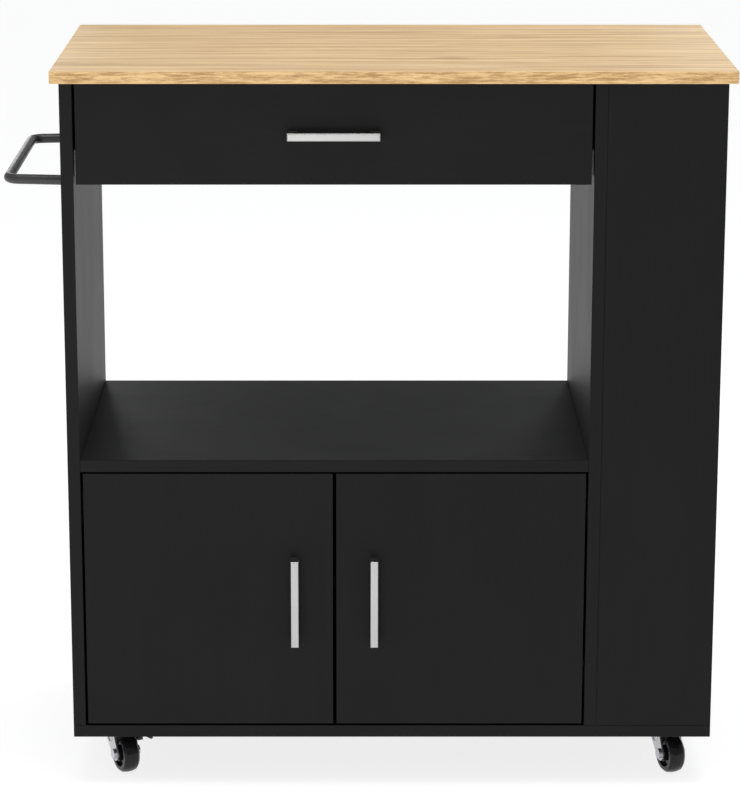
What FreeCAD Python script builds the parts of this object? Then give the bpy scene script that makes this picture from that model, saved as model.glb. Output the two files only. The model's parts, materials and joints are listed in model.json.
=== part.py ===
import FreeCAD, Part
import math
import os
import re
import Sketcher
from FreeCAD import Placement, Rotation, Vector

# Kitchen island cart on four swivel castors: a light worktop over a dark board carcass with one
# drawer, an open bay, a two-door cupboard, a side rack that opens to the right, and a towel bar
# on the left. Millimetres. +Z is up, the front faces -Y, and the origin lies on the floor under
# the centre of the whole cart's box.

SIZES = {
    # overall
    "worktop_height": 887,
    "body_width": 780,
    "body_depth": 380,
    "cabinet_width": 610,
    "worktop_overhang": 10,
    "worktop_thickness": 15,
    "worktop_ease": 1.2,
    "board": 15,
    "edge_ease": 0.6,
    "back_board": 3,
    "groove_depth": 5,
    "fit_gap": 0.05,
    # heights inside the carcass
    "bay_height": 335.5,
    "rear_rail_height": 90,
    "rack_tier_height": 250,
    "guard_rail_radius": 3,
    "guard_rail_height": 45,
    "guard_rail_inset": 10,
    # drawer
    "drawer_front_height": 118.5,
    "front_gap": 3,
    "drawer_top_gap": 2,
    "drawer_board": 12,
    "drawer_box_depth": 320,
    "drawer_box_height": 85,
    "drawer_bottom_lift": 10,
    "runner_gap": 12.5,
    "runner_length": 300,
    "runner_height": 30,
    "runner_setback": 2,
    "runner_steel": 1.2,
    "runner_drop": 7.7,
    "roller_radius": 10,
    "roller_width": 6,
    "roller_pin_radius": 2.5,
    "roller_end": 12,
    "roller_setback": 3,
    "roller_play": 2.8,
    "runner_clearance": 1.5,
    "flange_setback": 4,
    # doors and their cabinet shelf
    "door_middle_gap": 4,
    "door_top_gap": 2,
    "door_bottom_gap": 2.5,
    "shelf_side_gap": 1,
    "shelf_front_setback": 70,
    "shelf_rear_gap": 6,
    "shelf_pin_radius": 2.5,
    "shelf_pin_length": 16,
    "shelf_pin_inset": 40,
    # handles
    "handle_length": 109,
    "handle_width": 9.5,
    "handle_projection": 20,
    "handle_bar": 7,
    "handle_ease": 1.4,
    "handle_hole_spacing": 96,
    "handle_from_middle": 48,
    "handle_screw_radius": 2,
    # concealed hinges
    "hinge_inset": 51,
    "cup_radius": 17.5,
    "cup_depth": 11.5,
    "cup_wall": 0.9,
    "cup_setback": 22.5,
    "cup_flange": 1.2,
    "cup_pin_setback": 14,
    "cup_pin_depth": 11,
    "arm_pin_setback": 26.5,
    "arm_pin_depth": 29,
    "link_elbow_setback": 27.5,
    "link_elbow_depth": 7.5,
    "link_thickness": 2.2,
    "link_width": 10,
    "hinge_pin_radius": 1.5,
    "link_side_gap": 0.4,
    "arm_cheek": 2.5,
    "arm_thickness": 6,
    "arm_height": 12,
    "plate_distance": 24,
    "plate_thickness": 3,
    "plate_half_width": 8,
    "plate_half_height": 24,
    "plate_block_height": 10,
    "plate_block_length": 26,
    "plate_screw_offset": 16,
    "cup_lip": 2,
    "cup_ear_width": 14,
    "cup_ear_height": 58,
    "cup_stub_radius": 4,
    "cup_stub_offset": 24,
    # towel bar
    "towel_reach": 68,
    "towel_radius": 6,
    "towel_wall": 1.2,
    "towel_length": 276,
    "towel_splay": 8,
    "towel_bend": 15,
    "towel_drop": 138,
    # fasteners
    "cam_radius": 7.4,
    "cam_depth": 12.5,
    "cam_setback": 24,
    "cam_bolt_radius": 3,
    "cam_thread_radius": 2.5,
    "cam_thread_depth": 11,
    "cam_channel_radius": 3.6,
    "dowel_radius": 4,
    "dowel_length": 30,
    "dowel_spacing": 32,
    "fitting_inset": 55,
    "screw_radius": 1.75,
    "screw_length": 12,
    "screw_head_radius": 3.4,
    "screw_head_height": 1.6,
    # castors
    "caster_height": 63,
    "caster_side_inset": 50,
    "caster_front_inset": 65,
    "caster_plate_size": 44,
    "caster_plate": 2,
    "caster_screw_inset": 6,
    "race_radius": 17,
    "race_height": 6,
    "wheel_radius": 25,
    "wheel_width": 20,
    "wheel_trail": 20,
    "axle_radius": 4,
    "axle_head": 2.2,
    "axle_head_height": 3,
    "wheel_crown": 3.5,
    "wheel_recess": 4,
    "fork_gap": 2.5,
    "fork_steel": 2,
    "fork_crown_height": 53.5,
    "brake_pin_radius": 2,
    "brake_pin_offset": 4.5,
    "brake_pin_height": 49,
    "brake_pin_length": 16,
    "pedal_width": 14,
    "pedal_reach": 18.5,
    "shoe_width": 5.5,
    "stem_radius": 4,
    "yaw_front_left": 27,
    "yaw_front_right": 20,
    "yaw_rear": 20,
}

# Lines of the carcass that several pieces share, as formulas of the sizes above.
LEFT = "((towel_reach + towel_radius - body_width - worktop_overhang) / 2)"
FRONT = "((max(handle_projection; worktop_overhang) - body_depth - worktop_overhang) / 2)"
RIGHT = f"({LEFT} + body_width)"
BACK = f"({FRONT} + body_depth)"
CABINET_LEFT = f"({LEFT} + board)"
CABINET_RIGHT = f"({CABINET_LEFT} + cabinet_width)"
RACK_LEFT = f"({CABINET_RIGHT} + board)"
RACK_WIDTH = "(body_width - cabinet_width - 2 * board)"
FLOOR_TOP = "(caster_height + board)"
TOP = "(worktop_height - worktop_thickness)"
DRAWER_TOP = f"({TOP} - drawer_top_gap)"
DRAWER_BOTTOM = f"({DRAWER_TOP} - drawer_front_height)"
SHELF_TOP = f"({DRAWER_BOTTOM} - bay_height)"
SHELF_UNDER = f"({SHELF_TOP} - board)"
DOOR_BOTTOM = f"({FLOOR_TOP} + door_bottom_gap)"
DOOR_HEIGHT = f"({SHELF_UNDER} - door_top_gap - {DOOR_BOTTOM})"
DOOR_WIDTH = "((cabinet_width - 2 * front_gap - door_middle_gap) / 2)"
CABINET_SHELF_Z = f"(({FLOOR_TOP} + {SHELF_UNDER} - board) / 2)"
RUNNER_Z = f"({DRAWER_BOTTOM} + runner_drop)"
RUNNER_BACK = f"({FRONT} + board + runner_setback + runner_length)"
DRAWER_FLANGE = "(runner_height / 5)"
BOX_BOTTOM = f"({RUNNER_Z} + {DRAWER_FLANGE} + runner_steel)"
BOX_LEFT = f"({CABINET_LEFT} + runner_gap)"
BOX_WIDTH = "(cabinet_width - 2 * runner_gap)"
FORK_INNER = "(wheel_width / 2 + fork_gap)"
FORK_OUTER = "(wheel_width / 2 + fork_gap + fork_steel)"
BRAKE_PIN_X = f"({FORK_OUTER} + brake_pin_offset)"
TOWEL_Z = "(worktop_height - towel_drop)"

X, Y, Z = Vector(1, 0, 0), Vector(0, 1, 0), Vector(0, 0, 1)
SIDES = {"left": 1, "right": -1}

doc = FreeCAD.newDocument("kitchen_island_cart")
dims = doc.addObject("Spreadsheet::Sheet", "dims")
for row, (alias, number) in enumerate(SIZES.items(), start=1):
    dims.set(f"A{row}", alias)
    dims.set(f"B{row}", str(number))
    dims.setAlias(f"B{row}", alias)
doc.recompute()

nodes = {}
cutters = {}


def formula(text):
    """Point every size that a formula names at its cell in the sheet."""
    return re.sub(r"[a-z][a-z_]*", lambda m: f"dims.{m[0]}" if m[0] in SIZES else m[0], text)


def value(text):
    """The number that a formula gives now."""
    return float(dims.evalExpression(formula(text)))


def point(x, y, z):
    return Vector(value(x), value(y), value(z))


def bind(obj, prop, text):
    obj.setExpression(prop, formula(text))


def locate(obj, x, y, z, rotation=None):
    """Put an object at x, y, z, given as formulas, turned by a fixed rotation."""
    if rotation is not None:
        obj.Placement = Placement(Vector(0, 0, 0), rotation)
    bind(obj, "Placement.Base.x", x)
    bind(obj, "Placement.Base.y", y)
    bind(obj, "Placement.Base.z", z)
    return obj


def new_body(name):
    body = doc.addObject("PartDesign::Body", name)
    body.Label = name
    return body


def outline(body, plane, corners):
    """A closed sketch on one of the body's origin planes, each corner held by two formulas."""
    sketch = body.newObject("Sketcher::SketchObject", f"{body.Name}_outline")
    origin_plane = [face for face in body.Origin.OriginFeatures if face.Role == plane][0]
    sketch.AttachmentSupport = [(origin_plane, "")]
    sketch.MapMode = "FlatFace"
    spots = [Vector(value(across), value(up), 0) for across, up in corners]
    count = len(spots)
    for index in range(count):
        sketch.addGeometry(Part.LineSegment(spots[index], spots[(index + 1) % count]))
    for index in range(count):
        sketch.addConstraint(Sketcher.Constraint("Coincident", index, 2, (index + 1) % count, 1))
    for index, (across, up) in enumerate(corners):
        for kind, text, number in (("DistanceX", across, spots[index].x), ("DistanceY", up, spots[index].y)):
            constraint = sketch.addConstraint(Sketcher.Constraint(kind, -1, 1, index, 1, number))
            bind(sketch, f"Constraints[{constraint}]", text)
    return sketch


def rectangle(width, depth):
    return [("0", "0"), (width, "0"), (width, depth), ("0", depth)]


def pad(body, sketch, length, midplane=False):
    feature = body.newObject("PartDesign::Pad", f"{body.Name}_pad")
    feature.Profile = sketch
    feature.Midplane = midplane
    bind(feature, "Length", length)
    return feature


def turn(body, profile):
    """Revolve a profile of (radius, height) corners round the body's Z axis."""
    feature = body.newObject("PartDesign::Revolution", f"{body.Name}_turned")
    sketch = outline(body, "XZ_Plane", profile)
    feature.Profile = sketch
    feature.ReferenceAxis = (sketch, ["V_Axis"])
    feature.Angle = 360
    return feature


def ease(body, base, radius, edges=None):
    """Round a feature's edges: all of them, or those that a test picks."""
    doc.recompute()
    feature = body.newObject("PartDesign::Fillet", f"{body.Name}_eased")
    names = [f"Edge{number}" for number, edge in enumerate(base.Shape.Edges, start=1)
             if edges is None or edges(edge)]
    feature.Base = (base, names)
    bind(feature, "Radius", radius)
    body.Tip = feature
    return feature


def keep(name, obj):
    """Hand an object in as a sub-part of its own."""
    obj.Label = name
    nodes[name] = obj
    return obj


def board(name, x, y, z, size_x, size_y, size_z, easing="edge_ease"):
    """A flat board with softly eased edges, its low corner at x, y, z."""
    body = new_body(f"{name}_board")
    blank = pad(body, outline(body, "XY_Plane", rectangle(size_x, size_y)), size_z)
    ease(body, blank, easing)
    locate(body, x, y, z)
    return keep(name, body)


def cylinder(name, x, y, z, radius, length, direction=Z):
    obj = doc.addObject("Part::Cylinder", name)
    bind(obj, "Radius", radius)
    bind(obj, "Height", length)
    return locate(obj, x, y, z, Rotation(Z, direction))


def fuse(name, parts):
    obj = doc.addObject("Part::MultiFuse", name)
    obj.Shapes = parts
    return obj


def cut(name, base, tool):
    obj = doc.addObject("Part::Cut", name)
    obj.Base = base
    obj.Tool = tool
    return obj


def group(name, parts):
    obj = doc.addObject("Part::Compound", name)
    obj.Links = parts
    return keep(name, obj)


def shaped(name, shape):
    """A sub-part whose shape is worked out here from the sheet's numbers."""
    obj = doc.addObject("Part::Feature", name)
    obj.Shape = shape
    return obj


def remove(name, shape):
    """Note a hole or groove, cut from the named sub-part when all of them are known."""
    cutters.setdefault(name, []).append(shape)


def drill(name, start, direction, radius, depth):
    remove(name, Part.makeCylinder(radius, depth, start, direction))


def groove(name, x, y, z, size_x, size_y, size_z):
    block = Part.makeBox(value(size_x), value(size_y), value(size_z), point(x, y, z))
    remove(name, block)


# ---------------------------------------------------------------- carcass boards

def carcass():
    panel_height = f"({TOP} - {FLOOR_TOP})"
    board("worktop", f"{LEFT} - worktop_overhang", f"{FRONT} - worktop_overhang", TOP,
          "body_width + 2 * worktop_overhang", "body_depth + 2 * worktop_overhang",
          "worktop_thickness", "worktop_ease")
    board("bottom_panel", LEFT, FRONT, "caster_height", "body_width", "body_depth", "board")
    board("side_panel_left", LEFT, FRONT, FLOOR_TOP, "board", "body_depth", panel_height)
    board("divider_panel", CABINET_RIGHT, FRONT, FLOOR_TOP, "board", "body_depth", panel_height)
    board("rack_front_panel", RACK_LEFT, FRONT, FLOOR_TOP, RACK_WIDTH, "board", panel_height)
    board("rack_rear_panel", RACK_LEFT, f"{BACK} - board", FLOOR_TOP, RACK_WIDTH, "board", panel_height)
    board("bay_shelf", CABINET_LEFT, FRONT, SHELF_UNDER, "cabinet_width", "body_depth", "board")
    board("rear_top_rail", CABINET_LEFT, f"{BACK} - board", f"{TOP} - rear_rail_height",
          "cabinet_width", "board", "rear_rail_height")
    for tier, name in enumerate(("rack_shelf_lower", "rack_shelf_upper"), start=1):
        board(name, RACK_LEFT, f"{FRONT} + board", f"{FLOOR_TOP} + {tier} * rack_tier_height",
              RACK_WIDTH, "body_depth - 2 * board", "board")
    board("cabinet_shelf", f"{CABINET_LEFT} + shelf_side_gap", f"{FRONT} + shelf_front_setback",
          CABINET_SHELF_Z, "cabinet_width - 2 * shelf_side_gap",
          "body_depth - shelf_front_setback - board - shelf_rear_gap", "board")


def cabinet_back():
    """Thin back of the cupboard, held in grooves in the boards round it."""
    back_y = f"({BACK} - board + 2 * back_board)"
    panel_depth = "(groove_depth - 4 * fit_gap)"
    body = new_body("cabinet_back_panel")
    size_x = f"(cabinet_width + 2 * {panel_depth})"
    size_z = f"({SHELF_UNDER} - {FLOOR_TOP} + {panel_depth})"
    pad(body, outline(body, "XY_Plane", rectangle(size_x, "back_board")), size_z)
    keep("cabinet_back_panel", locate(body, f"{CABINET_LEFT} - {panel_depth}", back_y, FLOOR_TOP))
    groove_y = f"({back_y} - 2 * fit_gap)"
    groove_width = "back_board + 4 * fit_gap"
    height = f"{SHELF_UNDER} - {FLOOR_TOP} + groove_depth"
    groove("side_panel_left", f"{CABINET_LEFT} - groove_depth", groove_y, FLOOR_TOP,
           "groove_depth", groove_width, height)
    groove("divider_panel", CABINET_RIGHT, groove_y, FLOOR_TOP, "groove_depth", groove_width, height)
    groove("bay_shelf", CABINET_LEFT, groove_y, SHELF_UNDER, "cabinet_width", groove_width, "groove_depth")


def guard_rails():
    """One rod per rack tier, its ends in blind holes in the two rack panels."""
    rods = []
    seat = "(board / 2)"
    x = f"{RIGHT} - guard_rail_inset"
    for tier in range(3):
        z = f"{FLOOR_TOP} + {tier} * rack_tier_height + {min(tier, 1)} * board + guard_rail_height"
        start = f"{FRONT} + {seat}"
        rods.append(cylinder(f"guard_rail_{tier}", x, start, z, "guard_rail_radius",
                             f"body_depth - 2 * {seat}", Y))
        radius = value("guard_rail_radius + fit_gap")
        for panel, hole_y in (("rack_front_panel", start), ("rack_rear_panel", f"{BACK} - board")):
            drill(panel, point(x, hole_y, z), Y, radius, value(seat))
    group("rack_guard_rails", rods)


def shelf_pins():
    pins = []
    z = f"{CABINET_SHELF_Z} - shelf_pin_radius"
    rows = (f"{FRONT} + shelf_front_setback + shelf_pin_inset", f"{BACK} - board - 2 * shelf_pin_inset")
    for side, sign in SIDES.items():
        wall = CABINET_LEFT if side == "left" else CABINET_RIGHT
        panel = "side_panel_left" if side == "left" else "divider_panel"
        start = f"{wall} - {sign} * shelf_pin_length / 2"
        for row, y in enumerate(rows):
            pins.append(cylinder(f"shelf_pin_{side}_{row}", start, y, z, "shelf_pin_radius",
                                 "shelf_pin_length", X * sign))
            drill(panel, point(wall, y, z), X * -sign, value("shelf_pin_radius + fit_gap"),
                  value("shelf_pin_length / 2"))
    group("shelf_pins", pins)


# ---------------------------------------------------------------- carcass fittings

cams, bolts, dowels, screws = [], [], [], []


def cam_joint(receiver, holder, spot, into, face):
    """A bolt in the receiver's face, drawn in by a cam sunk in the holder's face.

    spot is where the bolt crosses from one board to the other, into points along the bolt
    into the holder, and face points out of the holder's face that takes the cam.
    """
    setback, half_board = value("cam_setback"), value("board / 2")
    bolt_radius, thread_radius = value("cam_bolt_radius"), value("cam_thread_radius")
    thread_depth, channel = value("cam_thread_depth"), value("cam_channel_radius")
    cam_radius, cam_depth, gap = value("cam_radius"), value("cam_depth"), value("fit_gap")
    shank = Part.makeCylinder(bolt_radius, setback, spot, into)
    thread = Part.makeCylinder(thread_radius, thread_depth, spot, into * -1)
    bolts.append(shank.fuse(thread))
    mouth = spot + into * setback + face * half_board
    disc = Part.makeCylinder(cam_radius, cam_depth, mouth, face * -1)
    passage = Part.makeCylinder(channel, setback + bolt_radius, spot, into)
    cams.append(disc.cut(passage))
    drill(holder, mouth, face * -1, cam_radius + gap, cam_depth + gap)
    drill(holder, spot, into, channel, setback)
    drill(receiver, spot, into * -1, thread_radius + gap, thread_depth + gap)


def dowel_joint(receiver, holder, spot, into):
    radius, length, gap = value("dowel_radius"), value("dowel_length"), value("fit_gap")
    shallow = value("cam_thread_depth")
    dowels.append(Part.makeCylinder(radius, length, spot - into * shallow, into))
    drill(receiver, spot, into * -1, radius + gap, shallow + gap)
    drill(holder, spot, into, radius + gap, length - shallow + gap)


def joint_row(receiver, holder, spots, into, face, along):
    """Cam joints at the spots, each with a dowel beside it."""
    for spot, step in spots:
        cam_joint(receiver, holder, spot, into, face)
        dowel_joint(receiver, holder, spot + along * step, into)


def upright_joints():
    """Uprights to the worktop above and the bottom panel below."""
    inset, step = value("fitting_inset"), value("dowel_spacing")
    front, back = value(FRONT) + inset, value(BACK) - inset
    middle_x = {"side_panel_left": value(f"{LEFT} + board / 2"),
                "divider_panel": value(f"{CABINET_RIGHT} + board / 2")}
    rack_x = value(f"{RACK_LEFT} + {RACK_WIDTH} / 2")
    rack_rows = {"rack_front_panel": (value(f"{FRONT} + board / 2"), Y),
                 "rack_rear_panel": (value(f"{BACK} - board / 2"), Y * -1)}
    for receiver, z, into in (("worktop", value(TOP), Z * -1), ("bottom_panel", value(FLOOR_TOP), Z)):
        for panel, x in middle_x.items():
            face = X if panel == "side_panel_left" else X * -1
            spots = [(Vector(x, front, z), step), (Vector(x, back, z), -step)]
            joint_row(receiver, panel, spots, into, face, Y)
        for panel, (y, face) in rack_rows.items():
            joint_row(receiver, panel, [(Vector(rack_x, y, z), step)], into, face, X)


def cross_joints():
    """Shelf and rail ends to the uprights, and the rack's boards to each other."""
    inset, step = value("fitting_inset"), value("dowel_spacing")
    for side, sign in SIDES.items():
        panel = "side_panel_left" if side == "left" else "divider_panel"
        x = value(CABINET_LEFT if side == "left" else CABINET_RIGHT)
        shelf_z = value(f"{SHELF_UNDER} + board / 2")
        spots = [(Vector(x, value(FRONT) + inset, shelf_z), step),
                 (Vector(x, value(BACK) - inset, shelf_z), -step)]
        joint_row(panel, "bay_shelf", spots, X * sign, Z * -1, Y)
        rail = point(str(x), f"{BACK} - board / 2", f"{TOP} - rear_rail_height / 4")
        joint_row(panel, "rear_top_rail", [(rail, -value("rear_rail_height / 2"))], X * sign, Y * -1, Z)
    low, high = value(f"{SHELF_TOP} + fitting_inset"), value(f"{TOP} - 2 * fitting_inset")
    x = value(RACK_LEFT)
    for panel, y, face in (("rack_front_panel", value(f"{FRONT} + board / 2"), Y),
                           ("rack_rear_panel", value(f"{BACK} - board / 2"), Y * -1)):
        spots = [(Vector(x, y, low), step), (Vector(x, y, high), -step)]
        joint_row("divider_panel", panel, spots, X, face, Z)
    for tier, shelf in enumerate(("rack_shelf_lower", "rack_shelf_upper"), start=1):
        z = value(f"{FLOOR_TOP} + {tier} * rack_tier_height + board / 2")
        x = value(f"{RACK_LEFT} + {RACK_WIDTH} / 2")
        for panel, y, into in (("rack_front_panel", value(f"{FRONT} + board"), Y),
                               ("rack_rear_panel", value(f"{BACK} - board"), Y * -1)):
            joint_row(panel, shelf, [(Vector(x, y, z), step)], into, Z * -1, X)


def wood_screw(receiver, seat, into, passed=0.0):
    """A pan-head screw whose head sits at seat, after passing through thin steel."""
    radius, length = value("screw_radius"), value("screw_length")
    head = Part.makeCylinder(value("screw_head_radius"), value("screw_head_height"), seat, into * -1)
    shank = Part.makeCylinder(radius, length + passed, seat, into)
    drill(receiver, seat + into * passed, into, radius + value("fit_gap"), length + value("fit_gap"))
    return head.fuse(shank)


# ---------------------------------------------------------------- towel bar

def towel_centre_line(start_inset):
    """The bar's centre line from foot to foot, each foot cut short by start_inset along its leg."""
    wall, z = value(LEFT), value(TOWEL_Z)
    middle = value(f"({FRONT} + {BACK}) / 2")
    half, bend = value("towel_length / 2"), value("towel_bend")
    foot = Vector(0, half + value("towel_splay"), 0)
    corner = Vector(-value("towel_reach"), half, 0)
    leg = (corner - foot).normalize()
    along = Vector(0, -1, 0)
    turned_by = math.acos(leg.dot(along))
    tangent = bend * math.tan(turned_by / 2)
    inward = (along - leg).normalize()
    arc_centre = corner + inward * (bend / math.cos(turned_by / 2))
    spots = [foot + leg * start_inset, corner - leg * tangent, arc_centre - inward * bend,
             corner + along * tangent]
    rear = [Vector(wall + spot.x, middle + spot.y, z) for spot in spots]
    front = [Vector(wall + spot.x, middle - spot.y, z) for spot in spots]
    edges = []
    for start, arc_start, arc_middle, arc_end in (rear, front):
        edges.append(Part.LineSegment(start, arc_start).toShape())
        edges.append(Part.Arc(arc_start, arc_middle, arc_end).toShape())
    edges.append(Part.LineSegment(rear[-1], front[-1]).toShape())
    return Part.Wire(Part.sortEdges(edges)[0])


def towel_tube(radius, start_inset):
    """A round rod of this radius along the bar's centre line."""
    path = towel_centre_line(start_inset)
    first = path.OrderedEdges[0]
    ring = Part.makeCircle(radius, path.OrderedVertexes[0].Point, first.tangentAt(first.FirstParameter))
    return path.makePipeShell([Part.Wire(ring)], True, False)


def towel_bar():
    """A bent tube with solid drilled ends, bolted on from inside the left side panel."""
    wall, z = value(LEFT), value(TOWEL_Z)
    middle = value(f"({FRONT} + {BACK}) / 2")
    radius, thickness = value("towel_radius"), value("board")
    bolt_radius = value("handle_screw_radius + 0.5")
    plug = 2 * radius
    solid = towel_tube(radius, -radius).cut(towel_tube(radius - value("towel_wall"), plug))
    block = 4 * value("towel_length / 2")
    panel_side = Part.makeBox(4 * radius, block, 4 * radius,
                              Vector(wall, middle - block / 2, z - 2 * radius))
    solid = solid.cut(panel_side)
    head, length = 2 * value("screw_head_height"), thickness + plug - radius / 2
    made = []
    for sign in (1, -1):
        inside = Vector(wall + thickness, middle + sign * value("towel_length / 2 + towel_splay"), z)
        shank = Part.makeCylinder(bolt_radius - value("fit_gap"), length, inside, X * -1)
        made.append(shank.fuse(Part.makeCylinder(2 * bolt_radius, head, inside, X)))
        solid = solid.cut(Part.makeCylinder(bolt_radius, length + radius, inside, X * -1))
        drill("side_panel_left", inside, X * -1, bolt_radius, thickness)
    keep("towel_bar", shaped("towel_bar", solid))
    keep("towel_bar_bolts", shaped("towel_bar_bolts", Part.makeCompound(made)))


# ---------------------------------------------------------------- drawer

def drawer_box():
    board("drawer_front", f"{CABINET_LEFT} + front_gap", FRONT, DRAWER_BOTTOM,
          "cabinet_width - 2 * front_gap", "board", "drawer_front_height")
    box_front = f"({FRONT} + board)"
    seat = "(board / 2)"
    box_right = f"({BOX_LEFT} + {BOX_WIDTH} - drawer_board)"
    for side, x in (("left", BOX_LEFT), ("right", box_right)):
        name = f"drawer_side_{side}"
        board(name, x, f"{box_front} - {seat}", BOX_BOTTOM, "drawer_board",
              f"drawer_box_depth + {seat}", "drawer_box_height")
        groove("drawer_front", f"{x} - fit_gap", f"{box_front} - {seat} - fit_gap", f"{BOX_BOTTOM} - fit_gap",
               "drawer_board + 2 * fit_gap", f"{seat} + fit_gap", "drawer_box_height + 2 * fit_gap")
    inner_left = f"({BOX_LEFT} + drawer_board)"
    inner_width = f"({BOX_WIDTH} - 2 * drawer_board)"
    bottom_z = f"({BOX_BOTTOM} + drawer_bottom_lift)"
    back_y = f"({box_front} + drawer_box_depth - drawer_board)"
    board("drawer_back", inner_left, back_y, f"{bottom_z} + back_board + fit_gap", inner_width,
          "drawer_board", "drawer_box_height - drawer_bottom_lift - back_board - fit_gap")
    tongue = "(groove_depth - 2 * fit_gap)"
    body = new_body("drawer_bottom")
    width = f"({inner_width} + 2 * {tongue})"
    depth = f"(drawer_box_depth + {tongue})"
    pad(body, outline(body, "XY_Plane", rectangle(width, depth)), "back_board")
    keep("drawer_bottom", locate(body, f"{inner_left} - {tongue}", f"{box_front} - {tongue}", bottom_z))
    slot_z = f"{bottom_z} - fit_gap"
    slot_height = "back_board + 2 * fit_gap"
    groove("drawer_front", f"{inner_left} - groove_depth", f"{box_front} - groove_depth", slot_z,
           f"{inner_width} + 2 * groove_depth", "groove_depth", slot_height)
    for side, x in (("left", f"{inner_left} - groove_depth"), ("right", box_right)):
        groove(f"drawer_side_{side}", x, f"{box_front} - board", slot_z, "groove_depth",
               "drawer_box_depth + 2 * board", slot_height)


def drawer_runners():
    """Roller runners: a channel on each carcass wall and an angle under each drawer side."""
    steel, width = "runner_steel", "(runner_gap - runner_clearance)"
    channel = [("0", "0"), (width, "0"), (width, steel), (steel, steel),
               (steel, f"runner_height - {steel}"), (width, f"runner_height - {steel}"),
               (width, "runner_height"), ("0", "runner_height")]
    web = f"(runner_gap - {steel})"
    shelf = "(runner_steel + 2 * roller_radius + roller_play)"
    reach = "(runner_gap + drawer_board)"
    angle = [("flange_setback", shelf), (web, shelf), (web, DRAWER_FLANGE), (reach, DRAWER_FLANGE),
             (reach, f"{DRAWER_FLANGE} + {steel}"),
             ("runner_gap", f"{DRAWER_FLANGE} + {steel}"), ("runner_gap", f"{shelf} + {steel}"),
             ("flange_setback", f"{shelf} + {steel}")]
    front_rollers, rear_rollers, drawer_screws = [], [], []
    pin_z = {"front": f"({RUNNER_Z} + {shelf} - roller_radius - 2 * fit_gap)",
             "rear": f"({RUNNER_Z} + runner_steel + roller_radius + 2 * fit_gap)"}
    pin_y = {"front": f"({RUNNER_BACK} - runner_length + roller_end)",
             "rear": f"({RUNNER_BACK} - roller_end)"}
    middle_z = value(f"{RUNNER_Z} + runner_height / 2")
    for side, sign in SIDES.items():
        wall = CABINET_LEFT if side == "left" else CABINET_RIGHT
        panel = "side_panel_left" if side == "left" else "divider_panel"
        roller_x = f"{wall} + {sign} * roller_setback"
        direction = X * sign
        members = {}
        for member, corners in (("fixed", channel), ("drawer", angle)):
            body = new_body(f"runner_{member}_{side}_profile")
            mirrored = [(f"{sign} * ({across})", up) for across, up in corners]
            pad(body, outline(body, "XZ_Plane", mirrored), "runner_length")
            members[member] = locate(body, wall, RUNNER_BACK, RUNNER_Z)
        front_pin = cylinder(f"front_roller_pin_{side}", f"{wall} + {sign} * runner_steel / 2",
                             pin_y["front"], pin_z["front"], "roller_pin_radius",
                             "roller_setback + roller_width", direction)
        rear_pin = cylinder(f"rear_roller_pin_{side}", f"{wall} + {sign} * (roller_setback - 0.5)",
                            pin_y["rear"], pin_z["rear"], "roller_pin_radius", f"{web} - 2", direction)
        pins = {"fixed": front_pin, "drawer": rear_pin}
        for member in members:
            name = f"runner_{member}_{side}"
            keep(name, fuse(name, [members[member], pins[member]]))
        for place, rollers in (("front", front_rollers), ("rear", rear_rollers)):
            tyre = cylinder(f"{place}_roller_{side}_disc", roller_x, pin_y[place], pin_z[place],
                            "roller_radius", "roller_width", direction)
            bore = cylinder(f"{place}_roller_{side}_bore", roller_x, pin_y[place], pin_z[place],
                            "roller_pin_radius + fit_gap", "roller_width", direction)
            rollers.append(cut(f"{place}_roller_{side}", tyre, bore))
        passed = value(steel)
        for share in (0.2, 0.8):
            y = value(f"{RUNNER_BACK} - {share} * runner_length")
            seat = Vector(value(f"{wall} + {sign} * {steel}"), y, middle_z)
            screws.append(wood_screw(panel, seat, direction * -1, passed))
            drill(f"runner_fixed_{side}", seat, direction * -1, value("screw_radius + fit_gap"), passed)
            seat = Vector(value(f"{wall} + {sign} * {web}"), y, middle_z)
            short = value("drawer_board") - 2
            hole = value("screw_radius + fit_gap")
            head = Part.makeCylinder(value("screw_head_radius"), value("screw_head_height"), seat,
                                     direction * -1)
            drawer_screws.append(head.fuse(Part.makeCylinder(value("screw_radius"), short, seat, direction)))
            drill(f"runner_drawer_{side}", seat, direction, hole, passed)
            drill(f"drawer_side_{side}", seat + direction * passed, direction, hole, short)
        drawer_screws += back_corner_screws(side, sign)
    group("front_rollers", front_rollers)
    group("rear_rollers", rear_rollers)
    keep("drawer_screws", shaped("drawer_screws", Part.makeCompound(drawer_screws)))


def back_corner_screws(side, sign):
    """Two countersunk screws through a drawer side into the end of the drawer back."""
    made = []
    wall = CABINET_LEFT if side == "left" else CABINET_RIGHT
    x = value(f"{wall} + {sign} * runner_gap")
    y = value(f"{FRONT} + board + drawer_box_depth - drawer_board / 2")
    radius, head = value("screw_radius"), value("screw_head_radius")
    length = value("3 * drawer_board")
    gap = value("fit_gap")
    for share in (0.5, 0.8):
        seat = Vector(x, y, value(f"{BOX_BOTTOM} + {share} * drawer_box_height"))
        cone = Part.makeCone(head, radius, head - radius, seat, X * sign)
        made.append(cone.fuse(Part.makeCylinder(radius, length, seat, X * sign)))
        remove(f"drawer_side_{side}", Part.makeCone(head + gap, radius + gap, head - radius, seat, X * sign))
        drill(f"drawer_side_{side}", seat, X * sign, radius + gap, value("drawer_board"))
        drill("drawer_back", seat + X * (sign * value("drawer_board")), X * sign, radius + gap,
              length - value("drawer_board") + gap)
    return made


# ---------------------------------------------------------------- handles

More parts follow.
